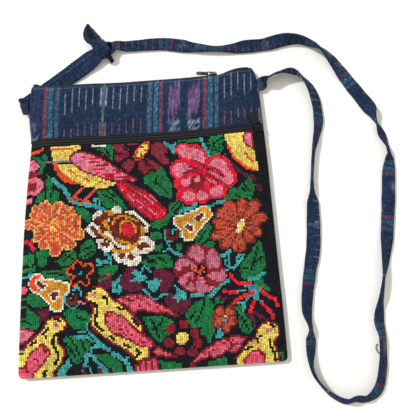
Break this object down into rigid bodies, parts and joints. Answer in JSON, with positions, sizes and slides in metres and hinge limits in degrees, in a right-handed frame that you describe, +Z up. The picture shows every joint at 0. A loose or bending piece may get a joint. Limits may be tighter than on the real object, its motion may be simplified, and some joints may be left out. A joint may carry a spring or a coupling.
{
  "type": "crossbody bag",
  "caption": "Flat cloth crossbody bag lying on its back, with an embroidered front, a zip pocket, a zip along the top and a knotted cloth strap.",
  "frame": {"origin": "on the floor under the middle of the bag, straps left out", "axes": "+X across the bag towards the sliders' side, +Y up the bag towards its top zip, +Z up from the floor"},
  "size_m": [0.3795, 0.4, 0.0155],
  "materials": {
    "navy_cloth": "matte weave",
    "striped_cloth": "matte weave with warp stripes",
    "embroidered_cloth": "matte weave with counted stitches",
    "strap_cloth": "matte weave",
    "zip_tape": "matte weave",
    "zip_coil": "satin",
    "zip_metal": "dark satin"
  },
  "bodies": {
    "bag": {"back_panel": "navy_cloth", "front_band": "striped_cloth", "embroidered_panel": "embroidered_cloth", "pocket_zip_tape_upper": "zip_tape", "pocket_zip_tape_lower": "zip_tape", "pocket_zip_coil": "zip_coil", "pocket_zip_slider": "zip_metal", "top_zip_tape_front": "zip_tape", "top_zip_tape_back": "zip_tape", "top_zip_coil": "zip_coil", "top_zip_slider": "zip_metal", "strap_left": "strap_cloth", "strap_right": "strap_cloth", "strap_knot": "strap_cloth", "strap_tail_long": "strap_cloth", "strap_tail_short": "strap_cloth"},
    "pocket_pull": {"pocket_zip_pull": "zip_metal"},
    "top_pull": {"top_zip_pull": "zip_metal"}
  },
  "joints": [
    {"name": "pocket_pull_swing", "type": "hinge", "parent": "bag", "child": "pocket_pull", "pos_m": [0.11747, 0.08086, 0.00971], "axis": [0.837, 0.4794, -0.2636], "range_deg": [0, 150]},
    {"name": "top_pull_swing", "type": "hinge", "parent": "bag", "child": "top_pull", "pos_m": [0.07508, 0.14332, 0.00571], "axis": [0, 0, -1], "range_deg": [0, 150]}
  ]
}
